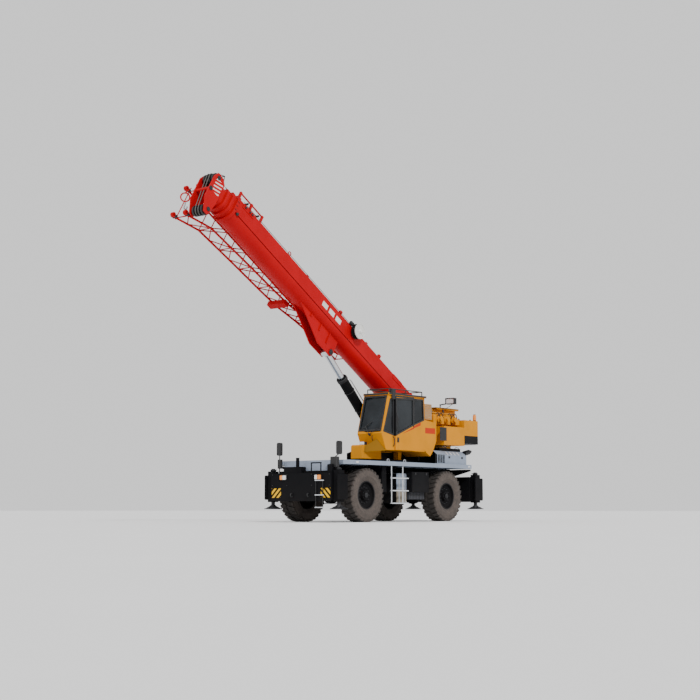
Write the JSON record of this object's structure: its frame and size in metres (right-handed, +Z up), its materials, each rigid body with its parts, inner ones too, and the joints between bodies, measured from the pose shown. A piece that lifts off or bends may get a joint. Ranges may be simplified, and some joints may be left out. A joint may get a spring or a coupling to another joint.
{
  "type": "rough-terrain crane",
  "caption": "Two-axle rough-terrain crane with a side cab, a telescopic boom with a stowed lattice jib and sliding outriggers.",
  "frame": {"origin": "on the ground below the middle of the machine's whole length, on its centre line", "axes": "+X forward along the carrier, +Y to the driver's left, +Z up"},
  "size_m": [11.5826, 2.88, 9.1378],
  "materials": {
    "carrier_black": "satin black paint",
    "deck_grey": "satin light blue-grey paint",
    "dark_steel": "dark machined steel and iron",
    "bare_steel": "bright galvanised metal",
    "lamp_lens": "clear lamp lenses",
    "black_plastic": "black moulded plastic",
    "upper_yellow": "gloss orange-yellow paint",
    "cab_glass": "tinted safety glass",
    "seat_fabric": "dark seat fabric and plastic",
    "boom_red": "gloss bright red paint",
    "reel_plastic": "off-white reel drum",
    "sheave_black": "black nylon sheaves",
    "chrome_rod": "chromed cylinder rod",
    "tyre_rubber": "dusty brown-grey tyre rubber"
  },
  "bodies": {
    "carrier": {"carrier_frame": "carrier_black", "slew_ring": "dark_steel", "carrier_deck": "deck_grey", "outrigger_boxes": "carrier_black", "engine_hood": "deck_grey", "engine_block": "dark_steel", "exhaust": "bare_steel", "side_boxes": "carrier_black", "ladders": "bare_steel", "front_lamps": "lamp_lens", "road_mirrors": "black_plastic", "front_rack": "carrier_black", "axles": "carrier_black"},
    "superstructure": {"turntable": "upper_yellow", "counterweight": "upper_yellow", "side_covers": "upper_yellow", "cab_floor": "upper_yellow", "cab_left": "upper_yellow", "cab_right": "upper_yellow", "cab_front": "upper_yellow", "cab_rear": "upper_yellow", "cab_roof": "upper_yellow", "cab_glass": "cab_glass", "cab_interior": "seat_fabric", "roof_rail": "black_plastic", "work_lamps": "black_plastic"},
    "cab_door": {"cab_door": "upper_yellow", "door_glass": "cab_glass"},
    "winch_main": {"winch_main": "dark_steel"},
    "winch_aux": {"winch_aux": "dark_steel"},
    "boom_base": {"boom_base": "boom_red", "jib": "boom_red", "cable_reel": "reel_plastic"},
    "boom_section_2": {"boom_section_2": "boom_red"},
    "boom_section_3": {"boom_section_3": "boom_red"},
    "boom_section_4": {"boom_section_4": "boom_red", "head_sheaves": "sheave_black"},
    "cylinder_barrel": {"cylinder_barrel": "carrier_black"},
    "cylinder_rod": {"cylinder_rod": "chrome_rod"},
    "knuckle_fl": {"knuckle_fl": "carrier_black"},
    "wheel_fl": {"tyre_fl": "tyre_rubber", "rim_fl": "carrier_black"},
    "beam_fl": {"beam_fl": "carrier_black"},
    "jack_fl": {"jack_fl": "dark_steel"},
    "knuckle_fr": {"knuckle_fr": "carrier_black"},
    "wheel_fr": {"tyre_fr": "tyre_rubber", "rim_fr": "carrier_black"},
    "beam_fr": {"beam_fr": "carrier_black"},
    "jack_fr": {"jack_fr": "dark_steel"},
    "knuckle_rl": {"knuckle_rl": "carrier_black"},
    "wheel_rl": {"tyre_rl": "tyre_rubber", "rim_rl": "carrier_black"},
    "beam_rl": {"beam_rl": "carrier_black"},
    "jack_rl": {"jack_rl": "dark_steel"},
    "knuckle_rr": {"knuckle_rr": "carrier_black"},
    "wheel_rr": {"tyre_rr": "tyre_rubber", "rim_rr": "carrier_black"},
    "beam_rr": {"beam_rr": "carrier_black"},
    "jack_rr": {"jack_rr": "dark_steel"}
  },
  "joints": [
    {"name": "slew", "type": "hinge", "parent": "carrier", "child": "superstructure", "pos_m": [-1.8213, 0, 1.77], "axis": [0, 0, 1], "continuous": true},
    {"name": "boom_luff", "type": "hinge", "parent": "superstructure", "child": "boom_base", "pos_m": [-3.8713, 0, 2.95], "axis": [0, -1, 0], "range_deg": [-31.1, 48.9]},
    {"name": "telescope_2", "type": "slide", "parent": "boom_base", "child": "boom_section_2", "axis": [0.8563, 0, 0.5165], "range_m": [0, 6.9]},
    {"name": "telescope_3", "type": "slide", "parent": "boom_section_2", "child": "boom_section_3", "axis": [0.8563, 0, 0.5165], "range_m": [0, 6.9]},
    {"name": "telescope_4", "type": "slide", "parent": "boom_section_3", "child": "boom_section_4", "axis": [0.8563, 0, 0.5165], "range_m": [0, 6.9]},
    {"name": "cylinder_tilt", "type": "hinge", "parent": "boom_base", "child": "cylinder_rod", "pos_m": [0.41256, 0, 4.83347], "axis": [0, -1, 0], "range_deg": [-3.72, 5.68]},
    {"name": "cylinder_stroke", "type": "slide", "parent": "cylinder_rod", "child": "cylinder_barrel", "axis": [-0.718, 0, -0.696], "range_m": [-0.8182, 1.2842]},
    {"name": "winch_main_spin", "type": "hinge", "parent": "superstructure", "child": "winch_main", "pos_m": [-4.6013, 0, 3.01], "axis": [0, 1, 0], "continuous": true},
    {"name": "winch_aux_spin", "type": "hinge", "parent": "superstructure", "child": "winch_aux", "pos_m": [-5.1163, 0, 2.96], "axis": [0, 1, 0], "continuous": true},
    {"name": "door_slide", "type": "slide", "parent": "superstructure", "child": "cab_door", "axis": [-1, 0, 0], "range_m": [0, 0.76]},
    {"name": "steer_fl", "type": "hinge", "parent": "carrier", "child": "knuckle_fl", "pos_m": [0.1787, 0.86, 0.75188], "axis": [0, 0, 1], "range_deg": [-30, 30]},
    {"name": "steer_fr", "type": "hinge", "parent": "carrier", "child": "knuckle_fr", "pos_m": [0.1787, -0.86, 0.75188], "axis": [0, 0, 1], "range_deg": [-30, 30]},
    {"name": "steer_rl", "type": "hinge", "parent": "carrier", "child": "knuckle_rl", "pos_m": [-3.8213, 0.86, 0.75188], "axis": [0, 0, 1], "range_deg": [-30, 30]},
    {"name": "steer_rr", "type": "hinge", "parent": "carrier", "child": "knuckle_rr", "pos_m": [-3.8213, -0.86, 0.75188], "axis": [0, 0, 1], "range_deg": [-30, 30]},
    {"name": "spin_fl", "type": "hinge", "parent": "knuckle_fl", "child": "wheel_fl", "pos_m": [0.1787, 1.07, 0.75188], "axis": [0, 1, 0], "continuous": true},
    {"name": "spin_fr", "type": "hinge", "parent": "knuckle_fr", "child": "wheel_fr", "pos_m": [0.1787, -1.07, 0.75188], "axis": [0, 1, 0], "continuous": true},
    {"name": "spin_rl", "type": "hinge", "parent": "knuckle_rl", "child": "wheel_rl", "pos_m": [-3.8213, 1.07, 0.75188], "axis": [0, 1, 0], "continuous": true},
    {"name": "spin_rr", "type": "hinge", "parent": "knuckle_rr", "child": "wheel_rr", "pos_m": [-3.8213, -1.07, 0.75188], "axis": [0, 1, 0], "continuous": true},
    {"name": "outrigger_fl", "type": "slide", "parent": "carrier", "child": "beam_fl", "axis": [0, 1, 0], "range_m": [0, 1.6]},
    {"name": "outrigger_fr", "type": "slide", "parent": "carrier", "child": "beam_fr", "axis": [0, -1, 0], "range_m": [0, 1.6]},
    {"name": "outrigger_rl", "type": "slide", "parent": "carrier", "child": "beam_rl", "axis": [0, 1, 0], "range_m": [0, 1.6]},
    {"name": "outrigger_rr", "type": "slide", "parent": "carrier", "child": "beam_rr", "axis": [0, -1, 0], "range_m": [0, 1.6]},
    {"name": "jack_fl", "type": "slide", "parent": "beam_fl", "child": "jack_fl", "axis": [0, 0, -1], "range_m": [0, 0.55]},
    {"name": "jack_fr", "type": "slide", "parent": "beam_fr", "child": "jack_fr", "axis": [0, 0, -1], "range_m": [0, 0.55]},
    {"name": "jack_rl", "type": "slide", "parent": "beam_rl", "child": "jack_rl", "axis": [0, 0, -1], "range_m": [0, 0.55]},
    {"name": "jack_rr", "type": "slide", "parent": "beam_rr", "child": "jack_rr", "axis": [0, 0, -1], "range_m": [0, 0.55]}
  ],
  "couplings": [
    {"joint": "telescope_3", "follows": "telescope_2", "ratio": 1},
    {"joint": "telescope_4", "follows": "telescope_2", "ratio": 1},
    {"joint": "cylinder_tilt", "follows": "boom_luff", "ratio": 0.11},
    {"joint": "cylinder_stroke", "follows": "boom_luff", "m_per_rad": 1.5},
    {"joint": "steer_fr", "follows": "steer_fl", "ratio": 1},
    {"joint": "steer_rr", "follows": "steer_rl", "ratio": 1}
  ]
}
